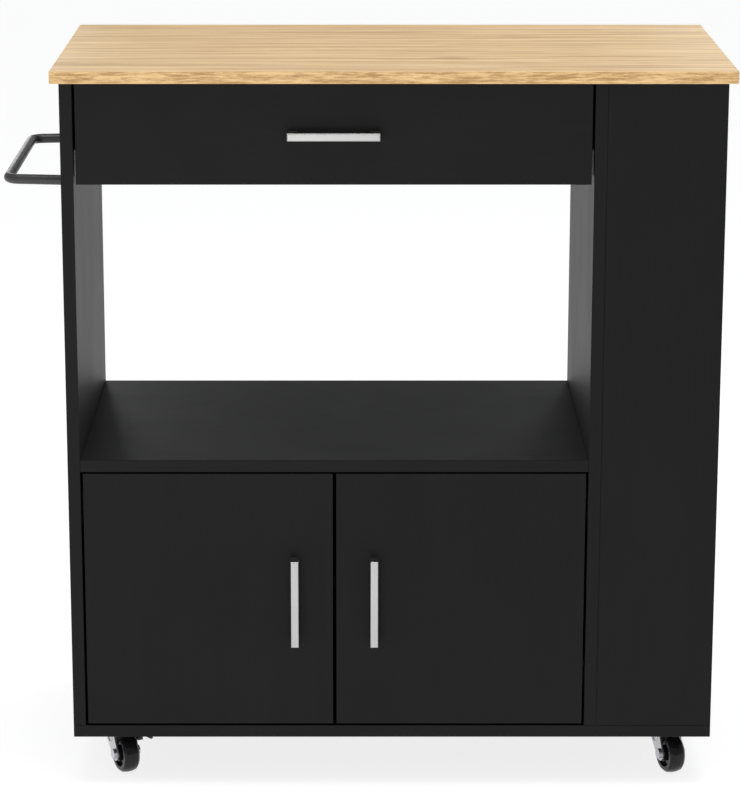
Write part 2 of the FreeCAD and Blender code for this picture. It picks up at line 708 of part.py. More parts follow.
def handle(name, screw_name, x, z, rotation, front_board):
    """A squared bow handle with two screws from behind the board it is fixed to."""
    leg = "((handle_length - handle_hole_spacing) / 2 + 5)"
    half = "(handle_length / 2)"
    inner = f"({half} - {leg})"
    projection, neck = "-handle_projection", "-(handle_projection - handle_bar)"
    corners = [(f"-{half}", "0"), (f"-{half}", projection), (half, projection), (half, "0"),
               (inner, "0"), (inner, neck), (f"-{inner}", neck), (f"-{inner}", "0")]
    body = new_body(f"{name}_bow")
    bow = pad(body, outline(body, "XY_Plane", corners), "handle_width", midplane=True)
    front_plane = 0.01 - value("handle_projection")
    ease(body, bow, "handle_ease", lambda edge: edge.BoundBox.YMax < front_plane)
    locate(body, x, FRONT, z, rotation)
    keep(name, body)
    along = rotation.multVec(X)
    spacing, radius = value("handle_hole_spacing"), value("handle_screw_radius")
    thickness, gap = value("board"), value("fit_gap")
    bite = value("handle_projection") / 2
    made = []
    for sign in (1, -1):
        spot = point(x, FRONT, z) + along * (sign * spacing / 2)
        inside = spot + Y * thickness
        shank = Part.makeCylinder(radius, thickness + bite, inside, Y * -1)
        made.append(shank.fuse(Part.makeCylinder(2 * radius, radius, inside, Y)))
        drill(front_board, inside, Y * -1, radius + gap, thickness)
        drill(name, spot, Y * -1, radius + gap, bite + gap)
    keep(screw_name, shaped(screw_name, Part.makeCompound(made)))


def handles():
    middle = f"({CABINET_LEFT} + cabinet_width / 2)"
    upright = Rotation(Y, 90)
    handle("drawer_handle", "drawer_handle_screws", middle,
           f"({DRAWER_BOTTOM} + drawer_front_height / 2)", Rotation(), "drawer_front")
    for side, sign in SIDES.items():
        handle(f"door_handle_{side}", f"door_handle_screws_{side}",
               f"({middle} - {sign} * handle_from_middle)", f"({DOOR_BOTTOM} + {DOOR_HEIGHT} / 2)",
               upright, f"door_{side}")


# ---------------------------------------------------------------- doors and hinges

def band(points, half_width):
    """Corners of a flat strip of constant width that follows a line of points."""
    left, right = [], []
    for index, spot in enumerate(points):
        before = (spot - points[index - 1]).normalize() if index else None
        after = (points[index + 1] - spot).normalize() if index + 1 < len(points) else None
        ahead = ((before or after) + (after or before)).normalize()
        across = Vector(-ahead.y, ahead.x, 0)
        straight = Vector(-(after or before).y, (after or before).x, 0)
        reach = half_width / across.dot(straight)
        left.append(spot + across * reach)
        right.append(spot - across * reach)
    return left + right[::-1]


def extrude(corners, low, high):
    face = Part.Face(Part.makePolygon(corners + corners[:1]))
    solid = face.extrude(Vector(0, 0, high - low))
    solid.translate(Vector(0, 0, low))
    return solid


def hinge_set(side, sign, z):
    """Arm, link and cup of one concealed hinge, at height z on one side of the cupboard."""
    wall = value(CABINET_LEFT if side == "left" else CABINET_RIGHT)
    front = value(FRONT)
    panel = "side_panel_left" if side == "left" else "divider_panel"

    def spot(setback, depth):
        return Vector(wall + sign * setback, front + depth, 0)

    def named(prefix):
        return spot(value(f"{prefix}_setback"), value(f"{prefix}_depth"))

    pin_radius, gap = value("hinge_pin_radius"), value("fit_gap")
    half_link, thickness = value("link_width / 2"), value("link_thickness")
    arm_pin, cup_pin, elbow = named("arm_pin"), named("cup_pin"), named("link_elbow")
    eye, side_gap = 2 * pin_radius, value("link_side_gap")
    half_arm = half_link + side_gap + value("arm_cheek")

    def rod(centre, radius, half_length):
        return Part.makeCylinder(radius, 2 * half_length, Vector(centre.x, centre.y, z - half_length))

    link = extrude(band([cup_pin, elbow, arm_pin], thickness / 2), z - half_link, z + half_link)
    link = link.fuse([rod(cup_pin, eye - 0.6, half_link), rod(arm_pin, eye, half_link),
                      rod(elbow, thickness / 2, half_link)])
    link = link.cut(rod(cup_pin, pin_radius + gap, half_link)).cut(rod(arm_pin, pin_radius + gap, half_link))

    arm_setback, arm_depth, arm_height = value("arm_pin_setback"), value("arm_pin_depth"), value("arm_height")
    plate_depth, half_plate = arm_depth + value("plate_distance"), value("plate_half_width")
    arm_end = plate_depth + value("plate_block_length") + 2
    arm_line = [spot(arm_height, arm_end), spot(arm_height, plate_depth - 5),
                spot(arm_setback, arm_depth + 6), arm_pin]
    arm = extrude(band(arm_line, value("arm_thickness / 2")), z - half_arm, z + half_arm)
    arm = arm.fuse(rod(arm_pin, eye + 0.2, half_arm))
    slot_corners = [spot(arm_setback - 8, arm_depth - 6), spot(arm_setback + 8, arm_depth - 6),
                    spot(arm_setback + 8, arm_depth + 7), spot(arm_setback - 8, arm_depth + 7)]
    arm = arm.cut(extrude(slot_corners, z - half_link - side_gap, z + half_link + side_gap))
    arm = arm.fuse(rod(arm_pin, pin_radius, half_arm))
    plate_height, half_height = value("plate_thickness"), value("plate_half_height")
    block_height, block_end = value("plate_block_height"), plate_depth + value("plate_block_length")
    plate = extrude([spot(0, plate_depth - half_plate), spot(plate_height, plate_depth - half_plate),
                     spot(plate_height, plate_depth + half_plate), spot(0, plate_depth + half_plate)],
                    z - half_height, z + half_height)
    block = extrude([spot(0, plate_depth - half_plate), spot(block_height, plate_depth - half_plate),
                     spot(block_height, block_end), spot(0, block_end)],
                    z - value("arm_thickness"), z + value("arm_thickness"))
    arm = arm.fuse([plate, block])
    for end in (-1, 1):
        seat = spot(plate_height, plate_depth) + Z * (z + end * value("plate_screw_offset"))
        inward = X * -sign
        screws.append(wood_screw(panel, seat, inward, plate_height))
        arm = arm.cut(Part.makeCylinder(value("screw_radius") + gap, plate_height, seat, inward))

    cup_centre = spot(value("cup_setback + front_gap"), value("board")) + Z * z
    radius, depth, wall_cup = value("cup_radius"), value("cup_depth"), value("cup_wall")
    flange, ear_width, ear_height = value("cup_flange"), value("cup_ear_width"), value("cup_ear_height")
    cup = Part.makeCylinder(radius, depth, cup_centre, Y * -1)
    cup = cup.fuse(Part.makeCylinder(radius + value("cup_lip"), flange, cup_centre, Y))
    ears_corner = cup_centre - X * (ear_width / 2) - Z * (ear_height / 2)
    cup = cup.fuse(Part.makeBox(ear_width, flange, ear_height, ears_corner))
    cup = cup.cut(Part.makeCylinder(radius - wall_cup, depth - wall_cup + flange,
                                    cup_centre + Y * flange, Y * -1))
    stub = value("cup_stub_radius") - gap
    for end in (-1, 1):
        foot = cup_centre + Z * (end * value("cup_stub_offset"))
        cup = cup.fuse(Part.makeCylinder(stub, depth, foot, Y * -1))
        drill(f"door_{side}", foot, Y * -1, stub + gap, depth + gap)
    off_centre = abs(cup_centre.x - cup_pin.x) + pin_radius
    chord = math.sqrt((radius - wall_cup / 2) ** 2 - off_centre ** 2)
    cup = cup.fuse(rod(cup_pin, pin_radius, chord))
    drill(f"door_{side}", cup_centre, Y * -1, radius + gap, depth + gap)
    return arm, link, cup


def doors():
    arms = []
    for side, sign in SIDES.items():
        x = (f"{CABINET_LEFT} + front_gap" if side == "left"
             else f"{CABINET_RIGHT} - front_gap - {DOOR_WIDTH}")
        board(f"door_{side}", x, FRONT, DOOR_BOTTOM, DOOR_WIDTH, "board", DOOR_HEIGHT)
        links, cups = [], []
        for z in (f"{DOOR_BOTTOM} + hinge_inset", f"{DOOR_BOTTOM} + {DOOR_HEIGHT} - hinge_inset"):
            arm, link, cup = hinge_set(side, sign, value(z))
            arms.append(arm)
            links.append(link)
            cups.append(cup)
        keep(f"hinge_links_{side}", shaped(f"hinge_links_{side}", Part.makeCompound(links)))
        keep(f"hinge_cups_{side}", shaped(f"hinge_cups_{side}", Part.makeCompound(cups)))
    keep("hinge_arms", shaped("hinge_arms", Part.makeCompound(arms)))


# ---------------------------------------------------------------- castors

def caster_plate(x, y, name):
    """Fixing plate with its bearing race pressed down in the middle."""
    size, race = "caster_plate_size", "race_radius"
    body = new_body(f"{name}_plate")
    square = [(f"{a} * {size} / 2", f"{b} * {size} / 2") for a, b in ((-1, -1), (1, -1), (1, 1), (-1, 1))]
    pad(body, outline(body, "XY_Plane", square), "caster_plate")
    locate(body, x, y, "caster_height - caster_plate")
    race_z = "(caster_height - caster_plate - race_height)"
    dome = cylinder(f"{name}_race", x, y, race_z, race, "race_height")
    hollow = cylinder(f"{name}_race_hollow", x, y, f"{race_z} + caster_plate", f"{race} - caster_plate",
                      "race_height")
    bore = cylinder(f"{name}_race_bore", x, y, race_z, "stem_radius + fit_gap", "race_height")
    outside = fuse(f"{name}_plate_outside", [body, dome])
    inside = fuse(f"{name}_plate_inside", [hollow, bore])
    plate = cut(f"{name}_plate_pressed", outside, inside)
    holes = []
    edge = value(f"{size} / 2 - caster_screw_inset")
    passed = value("caster_plate")
    for a, b in ((-1, -1), (1, -1), (1, 1), (-1, 1)):
        seat = point(x, y, "caster_height - caster_plate") + Vector(a * edge, b * edge, 0)
        screws.append(wood_screw("bottom_panel", seat, Z, passed))
        holes.append(Part.makeCylinder(value("screw_radius + fit_gap"), passed, seat, Z))
    return cut(f"{name}_plate_drilled", plate, shaped(f"{name}_plate_holes", Part.makeCompound(holes)))


def caster_fork(name, place, braked):
    """Crown, stem and two tapered legs, with an embossed ring on each leg's outer face."""
    crown = new_body(f"{name}_crown")
    race_z = "(caster_height - caster_plate - race_height)"
    head_low = f"({race_z} + caster_plate + 0.3)"
    head_high = f"({head_low} + 2)"
    turn(crown, [("0", "fork_crown_height - 2.5"), ("race_radius", "fork_crown_height - 2.5"),
                 ("race_radius", "fork_crown_height"), ("stem_radius", "fork_crown_height"),
                 ("stem_radius", head_low), ("stem_radius + 2.5", head_low),
                 ("stem_radius + 2.5", head_high), ("0", head_high)])
    place(crown)
    inner, outer = FORK_INNER, FORK_OUTER
    eye = "(2 * axle_radius + 1)"
    top = "(fork_crown_height - 0.5)"
    profile = [("race_radius - 3", top), ("-race_radius", top), ("-race_radius", f"{top} - 4"),
               (f"-wheel_trail - {eye} * cos(25deg)", f"wheel_radius + {eye} * sin(25deg)"),
               (f"-wheel_trail + {eye} * cos(40deg)", f"wheel_radius - {eye} * sin(40deg)"),
               ("race_radius - 3", f"{top} - 6")]
    pieces = [crown]
    for side, sign in (("left", -1), ("right", 1)):
        leg = new_body(f"{name}_leg_{side}")
        pad(leg, outline(leg, "YZ_Plane", profile), "fork_steel")
        shift = inner if sign > 0 else f"-{outer}"
        place(leg, shift)
        boss = cylinder(f"{name}_eye_{side}", "0", "0", "0", eye, "fork_steel", X)
        place(boss, shift, "-wheel_trail", "wheel_radius")
        ring = doc.addObject("Part::Torus", f"{name}_emboss_{side}")
        bind(ring, "Radius1", "axle_radius + 2")
        bind(ring, "Radius2", "fork_steel / 2.5")
        ring.Placement = Placement(Vector(), Rotation(Z, X))
        place(ring, f"{sign} * {outer}", "-race_radius / 3", f"{top} - 2.6 * axle_radius")
        pieces += [leg, boss, ring]
    bridge = new_body(f"{name}_bridge")
    reach = "(race_radius - 3)"
    pad(bridge, outline(bridge, "XY_Plane", [(f"-{outer}", "-race_radius"), (outer, "-race_radius"),
                                             (outer, reach), (f"-{outer}", reach)]), "2")
    place(bridge, "0", "0", f"{top} - 2")
    pieces.append(bridge)
    if braked:
        block = new_body(f"{name}_brake_block")
        block_end = f"({BRAKE_PIN_X} + 3)"
        corners = [(inner, "brake_pin_height - 6"), (block_end, "brake_pin_height - 3"),
                   (block_end, "fork_crown_height - 1"), (inner, "fork_crown_height - 1")]
        pad(block, outline(block, "XZ_Plane", corners), "pedal_width / 2")
        place(block, "0", "-8")
        pin = cylinder(f"{name}_brake_pin", "0", "0", "0", "brake_pin_radius", "brake_pin_length", Y * -1)
        place(pin, BRAKE_PIN_X, "-14.5", "brake_pin_height")
        pieces += [block, pin]
    whole = fuse(f"{name}_fork_blank", pieces)
    hole = cylinder(f"{name}_axle_hole", "0", "0", "0", "axle_radius + fit_gap", f"2 * {outer}", X)
    place(hole, f"-{outer}", "-wheel_trail", "wheel_radius")
    return keep(f"{name}_fork", cut(f"{name}_fork", whole, hole))


def caster_wheel(name, place):
    half = "(wheel_width / 2)"
    bore, hub = "(axle_radius + fit_gap)", "(2 * axle_radius + 2)"
    rim = "(wheel_radius * 0.68)"
    web = f"({half} - wheel_recess)"
    shoulder, tread = "(wheel_radius - wheel_crown)", "(wheel_width / 8)"
    profile = [(bore, f"-{half} - 1"), (hub, f"-{half} - 1"), (hub, f"-{web}"), (rim, f"-{web}"),
               (rim, f"-{half}"), (shoulder, f"-{half}"),
               ("wheel_radius - 1", f"-{half} + wheel_crown * 0.72"), ("wheel_radius", f"-{tread}"),
               ("wheel_radius", tread), ("wheel_radius - 1", f"{half} - wheel_crown * 0.72"),
               (shoulder, half), (rim, half), (rim, web), (hub, web),
               (hub, f"{half} + 1"), (bore, f"{half} + 1")]
    body = new_body(f"{name}_wheel")
    turn(body, profile)
    body.Placement = Placement(Vector(), Rotation(Z, X))
    place(body, "0", "-wheel_trail", "wheel_radius")
    return keep(f"{name}_wheel", body)


def caster_axle(name, place):
    """Axle bolt with a head on the left and a nut on the right."""
    head, end = "(axle_radius + axle_head)", f"({FORK_OUTER} + fit_gap)"
    cap = f"({FORK_OUTER} + axle_head_height)"
    profile = [("0", f"-{cap}"), (head, f"-{cap}"), (head, f"-{end}"), ("axle_radius", f"-{end}"),
               ("axle_radius", end), (head, end), (head, cap), ("0", cap)]
    body = new_body(f"{name}_axle")
    turn(body, profile)
    body.Placement = Placement(Vector(), Rotation(Z, X))
    place(body, "0", "-wheel_trail", "wheel_radius")
    return keep(f"{name}_axle", body)


def caster_brake(name, place):
    """Pedal and shoe in one lever; pressing the pedal swings the shoe against the wheel's flank."""
    heel, toe = f"({FORK_OUTER} + 1.5)", f"({FORK_OUTER} + pedal_reach)"
    top, underside = "(brake_pin_height + 3)", "(brake_pin_height - 5)"
    corners = [(heel, top), (f"{FORK_OUTER} + 8", top), (toe, "brake_pin_height - 6"),
               (toe, "brake_pin_height - 9"), (f"{toe} - 2.5", "brake_pin_height - 9.5"),
               (f"{BRAKE_PIN_X} + 2", "brake_pin_height - 3.5"), (heel, underside)]
    pedal = new_body(f"{name}_pedal")
    blank = pad(pedal, outline(pedal, "XZ_Plane", corners), "pedal_width")
    ease(pedal, blank, "0.8")
    place(pedal, "0", "-16")
    shoe = new_body(f"{name}_shoe")
    shoe_top, shoe_end = "(brake_pin_height - 2)", f"({FORK_OUTER} + 5)"
    shoe_corners = [(FORK_INNER, f"{underside} - 3"), (shoe_end, f"{underside} - 3"), (shoe_end, shoe_top),
                    (heel, shoe_top), (heel, underside), (FORK_INNER, underside)]
    pad(shoe, outline(shoe, "XZ_Plane", shoe_corners), "shoe_width")
    place(shoe, "0", "-24.4")
    bore = cylinder(f"{name}_brake_bore", "0", "0", "0", "brake_pin_radius + fit_gap",
                    "brake_pin_length + 4", Y * -1)
    place(bore, BRAKE_PIN_X, "-14.5", "brake_pin_height")
    lever = cut(f"{name}_brake_lever", fuse(f"{name}_brake_blank", [pedal, shoe]), bore)
    return keep(f"{name}_brake", lever)


def casters():
    """Four castors: plates fixed to the bottom panel, forks turned to their resting angles."""
    corners = {
        "caster_front_left": (1, 1, "yaw_front_left", True),
        "caster_front_right": (-1, 1, "yaw_front_right", False),
        "caster_rear_left": (1, -1, "yaw_rear", False),
        "caster_rear_right": (-1, -1, "yaw_rear", True),
    }
    plates = []
    for name, (from_left, from_front, yaw, braked) in corners.items():
        edge_x, edge_y = (LEFT if from_left > 0 else RIGHT), (FRONT if from_front > 0 else BACK)
        pivot_x = f"({edge_x} + {from_left} * caster_side_inset)"
        pivot_y = f"({edge_y} + {from_front} * caster_front_inset)"
        plates.append(caster_plate(pivot_x, pivot_y, name))

        def place(obj, x="0", y="0", z="0"):
            """Turn a piece with the fork, its own origin x, y, z from the swivel axis."""
            angle = value(yaw)
            obj.Placement = Placement(Vector(), Rotation(Z, angle) * obj.Placement.Rotation)
            turned = (f"(({x}) * cos({yaw} * 1deg) - ({y}) * sin({yaw} * 1deg))",
                      f"(({x}) * sin({yaw} * 1deg) + ({y}) * cos({yaw} * 1deg))")
            bind(obj, "Placement.Base.x", f"{pivot_x} + {turned[0]}")
            bind(obj, "Placement.Base.y", f"{pivot_y} + {turned[1]}")
            bind(obj, "Placement.Base.z", z)

        caster_fork(name, place, braked)
        caster_wheel(name, place)
        caster_axle(name, place)
        if braked:
            caster_brake(name, place)
    group("caster_plates", plates)


# ---------------------------------------------------------------- assembly

def cut_openings():
    """Cut every noted hole and groove, so each sub-part ends as one drilled piece."""
    for name, shapes in cutters.items():
        blank = nodes[name]
        blank.Label = f"{name}_blank"
        tools = shaped(f"{name}_openings", shapes[0].fuse(shapes[1:]) if len(shapes) > 1 else shapes[0])
        keep(name, cut(f"{name}_drilled", blank, tools))


def check():
    doc.recompute()
    failed = [obj.Name for obj in doc.Objects if "Invalid" in obj.State or "Error" in obj.State]
    for name, obj in nodes.items():
        if obj.Shape.isNull() or not obj.Shape.isValid() or not obj.Shape.Solids:
            failed.append(name)
    if failed:
        raise RuntimeError(f"not built: {failed}")


def main():
    carcass()
    cabinet_back()
    guard_rails()
    shelf_pins()
    upright_joints()
    cross_joints()
    towel_bar()
    drawer_box()
    drawer_runners()
    doors()
    handles()
    casters()
    keep("cam_locks", shaped("cam_locks", Part.makeCompound(cams)))
    keep("cam_bolts", shaped("cam_bolts", Part.makeCompound(bolts)))
    keep("dowels", shaped("dowels", Part.makeCompound(dowels)))
    keep("wood_screws", shaped("wood_screws", Part.makeCompound(screws)))
    cut_openings()
    check()
    os.makedirs("parts", exist_ok=True)
    for name, obj in nodes.items():
        obj.Shape.exportStep(f"parts/{name}.step")
    print(f"{len(nodes)} sub-parts written")


main()
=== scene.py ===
import json
import math

import bpy
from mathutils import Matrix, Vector


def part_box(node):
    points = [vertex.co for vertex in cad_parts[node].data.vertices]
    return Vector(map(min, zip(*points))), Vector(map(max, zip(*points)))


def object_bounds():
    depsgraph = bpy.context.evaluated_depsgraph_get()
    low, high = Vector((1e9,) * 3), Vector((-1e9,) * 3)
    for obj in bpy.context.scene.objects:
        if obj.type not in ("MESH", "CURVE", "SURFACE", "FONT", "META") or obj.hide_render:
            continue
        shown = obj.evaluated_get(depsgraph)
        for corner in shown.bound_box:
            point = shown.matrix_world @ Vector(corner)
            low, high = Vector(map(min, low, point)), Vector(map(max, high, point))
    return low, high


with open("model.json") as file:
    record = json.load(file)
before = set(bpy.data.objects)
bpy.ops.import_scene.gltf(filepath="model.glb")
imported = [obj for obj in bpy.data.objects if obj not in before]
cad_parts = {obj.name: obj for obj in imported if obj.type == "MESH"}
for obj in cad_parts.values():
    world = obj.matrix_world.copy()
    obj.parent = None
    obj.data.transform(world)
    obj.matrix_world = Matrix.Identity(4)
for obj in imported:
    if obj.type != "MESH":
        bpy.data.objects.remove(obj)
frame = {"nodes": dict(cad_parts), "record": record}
cad_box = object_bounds()
nodes = frame["nodes"]


# ---------------------------------------------------------------- node helpers

class Nodes:
    """A small wrapper that makes a material's nodes and joins them in one call."""

    def __init__(self, name):
        self.material = bpy.data.materials.new(name)
        self.material.use_nodes = True
        self.tree = self.material.node_tree
        self.shader = self.tree.nodes["Principled BSDF"]
        self.place = self.new("ShaderNodeTexCoord").outputs["Object"]

    def new(self, kind, **settings):
        node = self.tree.nodes.new(kind)
        for key, setting in settings.items():
            setattr(node, key, setting)
        return node

    def feed(self, socket, source):
        if isinstance(source, bpy.types.NodeSocket):
            self.tree.links.new(source, socket)
        else:
            socket.default_value = source

    def stretch(self, scale):
        """Object coordinates scaled along each axis; a small scale draws a pattern out long."""
        node = self.new("ShaderNodeMapping")
        self.feed(node.inputs["Vector"], self.place)
        node.inputs["Scale"].default_value = scale
        return node.outputs["Vector"]

    def noise(self, scale, stretch=(1, 1, 1), detail=4.0, roughness=0.55, distortion=0.0):
        node = self.new("ShaderNodeTexNoise")
        self.feed(node.inputs["Vector"], self.stretch(stretch))
        node.inputs["Scale"].default_value = scale
        node.inputs["Detail"].default_value = detail
        node.inputs["Roughness"].default_value = roughness
        node.inputs["Distortion"].default_value = distortion
        return node.outputs["Fac"]

    def ramp(self, source, *stops):
        """Read a value against stops of (position, colour or grey)."""
        node = self.new("ShaderNodeValToRGB")
        self.feed(node.inputs["Fac"], source)
        points = node.color_ramp.elements
        while len(points) < len(stops):
            points.new(0.5)
        for point, (position, colour) in zip(points, stops):
            point.position = position
            point.color = (*colour, 1) if isinstance(colour, tuple) else (colour, colour, colour, 1)
        return node.outputs["Color"]

    def span(self, source, low, high):
        """Carry 0 to 1 onto low to high."""
        node = self.new("ShaderNodeMapRange")
        self.feed(node.inputs["Value"], source)
        node.inputs["To Min"].default_value = low
        node.inputs["To Max"].default_value = high
        return node.outputs["Result"]

    def math(self, operation, a, b=0.0):
        node = self.new("ShaderNodeMath", operation=operation)
        self.feed(node.inputs[0], a)
        self.feed(node.inputs[1], b)
        return node.outputs["Value"]

    def mix(self, share, a, b):
        """Blend two colours, or sockets that carry them; the input numbers are the node's colour pair."""
        node = self.new("ShaderNodeMix", data_type="RGBA", blend_type="MIX")
        self.feed(node.inputs[0], share)
        self.feed(node.inputs[6], a if isinstance(a, bpy.types.NodeSocket) else (*a, 1))
        self.feed(node.inputs[7], b if isinstance(b, bpy.types.NodeSocket) else (*b, 1))
        return node.outputs[2]

    def bump(self, height, strength, distance, under=None):
        node = self.new("ShaderNodeBump")
        self.feed(node.inputs["Height"], height)
        node.inputs["Strength"].default_value = strength
        node.inputs["Distance"].default_value = distance
        if under is not None:
            self.feed(node.inputs["Normal"], under)
        return node.outputs["Normal"]

    def finish(self, colour, roughness, normal, metallic=0.0, **constants):
        self.feed(self.shader.inputs["Base Color"], colour)
        self.feed(self.shader.inputs["Roughness"], roughness)
        self.feed(self.shader.inputs["Normal"], normal)
        self.shader.inputs["Metallic"].default_value = metallic
        for name, setting in constants.items():
            self.shader.inputs[name.replace("_", " ")].default_value = setting
        return self.material


# ---------------------------------------------------------------- materials

# Object coordinates are in metres. A grain is drawn out along the axis with the small scale.
KNOT_X, KNOT_Y = 0.10, -0.09
KNOT_SLENDERNESS = 3.0
UPRIGHT_GRAIN = (9.0, 9.0, 0.35)
ACROSS_GRAIN = (0.35, 9.0, 9.0)
OAK_PALE = (0.90, 0.68, 0.40)
OAK_ARCH = (0.52, 0.32, 0.135)
OAK_PORE = (0.45, 0.275, 0.12)
OAK_KNOT = (0.40, 0.235, 0.10)
NICKEL_LIGHT, NICKEL_DARK = (0.60, 0.60, 0.59), (0.42, 0.42, 0.42)
# The across pair is the same satin nickel as the upright pair, painted darker: painted shade on the
# horizontal handles.
NICKEL_ACROSS_PAINTED_SHADE_LIGHT, NICKEL_ACROSS_PAINTED_SHADE_DARK = (0.50, 0.50, 0.49), (0.34, 0.34, 0.34)


def oak_laminate():
    """Pale oak print: streaks, cathedral arches, fine pores and one knot, with busier grain on the edges."""
    m = Nodes("oak_laminate_look")
    bands = m.noise(2.2, (1.0, 9.0, 9.0), detail=3.0, distortion=0.6)
    streaks = m.noise(14.0, (0.32, 11.0, 11.0), detail=8.0, roughness=0.68, distortion=0.25)
    fine = m.noise(60.0, (0.22, 14.0, 14.0), detail=6.0, roughness=0.7)
    wave = m.new("ShaderNodeTexWave", wave_type="BANDS", bands_direction="Y")
    m.feed(wave.inputs["Vector"], m.stretch((0.35, 5.0, 5.0)))
    wave.inputs["Scale"].default_value = 3.0
    wave.inputs["Distortion"].default_value = 9.0
    wave.inputs["Detail"].default_value = 3.0
    wave.inputs["Detail Scale"].default_value = 1.3
    tone = m.ramp(streaks, (0.37, (0.50, 0.315, 0.135)), (0.49, (0.74, 0.51, 0.258)),
                  (0.62, (0.90, 0.66, 0.365)))
    tone = m.mix(m.ramp(bands, (0.35, 0.0), (0.70, 0.30)), tone, OAK_PALE)
    tone = m.mix(m.ramp(wave.outputs["Fac"], (0.62, 0.0), (1.0, 0.38)), tone, OAK_ARCH)
    pores = m.ramp(fine, (0.54, 0.0), (0.66, 0.75))
    tone = m.mix(pores, tone, OAK_PORE)
    knot_distance = m.new("ShaderNodeVectorMath", operation="DISTANCE")
    m.feed(knot_distance.inputs[0], m.stretch((1.0, KNOT_SLENDERNESS, 0.0)))
    knot_distance.inputs[1].default_value = (KNOT_X, KNOT_Y * KNOT_SLENDERNESS, 0.0)
    ragged = m.math("ADD", knot_distance.outputs["Value"], m.math("MULTIPLY", streaks, 0.04))
    tone = m.mix(m.ramp(ragged, (0.026, 0.70), (0.056, 0.0)), tone, OAK_KNOT)
    facing = m.new("ShaderNodeSeparateXYZ")
    m.feed(facing.inputs["Vector"], m.new("ShaderNodeNewGeometry").outputs["Normal"])
    upward = m.math("ABSOLUTE", facing.outputs["Z"])
    edge = m.ramp(upward, (0.25, 1.0), (0.65, 0.0))
    front_grain = m.noise(66.0, (0.5, 5.0, 5.0), detail=5.0, roughness=0.75)
    side_grain = m.noise(66.0, (5.0, 0.5, 5.0), detail=5.0, roughness=0.75)
    sideways = m.ramp(m.math("ABSOLUTE", facing.outputs["X"]), (0.6, 0.0), (0.8, 1.0))
    edge_grain = m.mix(sideways, front_grain, side_grain)
    edge_tone = m.ramp(edge_grain, (0.40, (0.56, 0.31, 0.108)), (0.58, (1.0, 0.67, 0.31)))
    tone = m.mix(edge, tone, edge_tone)
    normal = m.bump(pores, 0.25, 0.0002, m.bump(streaks, 0.18, 0.0003))
    return m.finish(tone, m.span(streaks, 0.50, 0.38), normal)


def charcoal_board(name, grain):
    """Matt dark foil: faint wood grain along the board, a pearl texture and slightly polished patches."""
    m = Nodes(name)
    cloud = m.noise(5.0, detail=3.0)
    lines = m.noise(26.0, grain, detail=7.0, roughness=0.7, distortion=0.3)
    pearl = m.noise(1500.0, detail=2.0, roughness=0.6)
    wipe = m.noise(9.0, (1.0, 1.0, 0.5), detail=5.0, roughness=0.6, distortion=0.8)
    tone = m.ramp(cloud, (0.3, (0.0064, 0.0064, 0.0066)), (0.7, (0.0084, 0.0083, 0.0083)))
    tone = m.mix(m.ramp(lines, (0.46, 0.0), (0.70, 0.6)), tone, (0.0102, 0.0101, 0.0101))
    tone = m.mix(m.ramp(pearl, (0.5, 0.0), (0.8, 0.5)), tone, (0.013, 0.013, 0.0132))
    normal = m.bump(pearl, 0.22, 0.0002, m.bump(lines, 0.08, 0.0003))
    return m.finish(tone, m.span(wipe, 0.44, 0.56), normal, Specular_IOR_Level=0.16)


def brushed(name, light, dark, along, low, high, grain=520.0):
    """Metal with fine brush lines along one axis."""
    m = Nodes(name)
    scale = [9.0, 9.0, 9.0]
    scale["xyz".index(along)] = 0.12
    lines = m.noise(grain / 9, tuple(scale), detail=4.0, roughness=0.7)
    cloud = m.noise(30.0, detail=2.0)
    tone = m.mix(lines, dark, light)
    tone = m.mix(m.ramp(cloud, (0.35, 0.0), (0.75, 0.25)), tone, dark)
    return m.finish(tone, m.span(lines, low, high), m.bump(lines, 0.12, 0.0001), metallic=1.0)


def plated(name, light, dark, low, high):
    """Bright plated steel with a faint mottled crystal look and dull spots."""
    m = Nodes(name)
    cells = m.new("ShaderNodeTexVoronoi", feature="F1")
    m.feed(cells.inputs["Vector"], m.place)
    cells.inputs["Scale"].default_value = 420.0
    spots = m.noise(90.0, detail=4.0, roughness=0.65)
    tone = m.mix(m.math("MULTIPLY", cells.outputs["Distance"], 0.7), light, dark)
    tone = m.mix(m.ramp(spots, (0.5, 0.0), (0.75, 0.4)), tone, dark)
    return m.finish(tone, m.span(spots, low, high), m.bump(spots, 0.08, 0.0002), metallic=1.0)


def coated(name, light, dark, low, high, peel=700.0, strength=0.12, **constants):
    """Powder coat, moulded plastic or enamel: fine orange peel, slight clouding, uneven gloss."""
    m = Nodes(name)
    fine = m.noise(peel, detail=2.0, roughness=0.5)
    cloud = m.noise(45.0, detail=4.0, roughness=0.6)
    tone = m.mix(cloud, dark, light)
    return m.finish(tone, m.span(cloud, low, high), m.bump(fine, strength, 0.0002), **constants)


def beech():
    """Raw beech: short flecks across a warm ground."""
    m = Nodes("beech_dowel_look")
    flecks = m.noise(160.0, (0.3, 2.0, 2.0), detail=5.0, roughness=0.7)
    tone = m.ramp(flecks, (0.35, (0.46, 0.29, 0.15)), (0.65, (0.66, 0.46, 0.28)))
    return m.finish(tone, m.span(flecks, 0.75, 0.55), m.bump(flecks, 0.3, 0.0002))


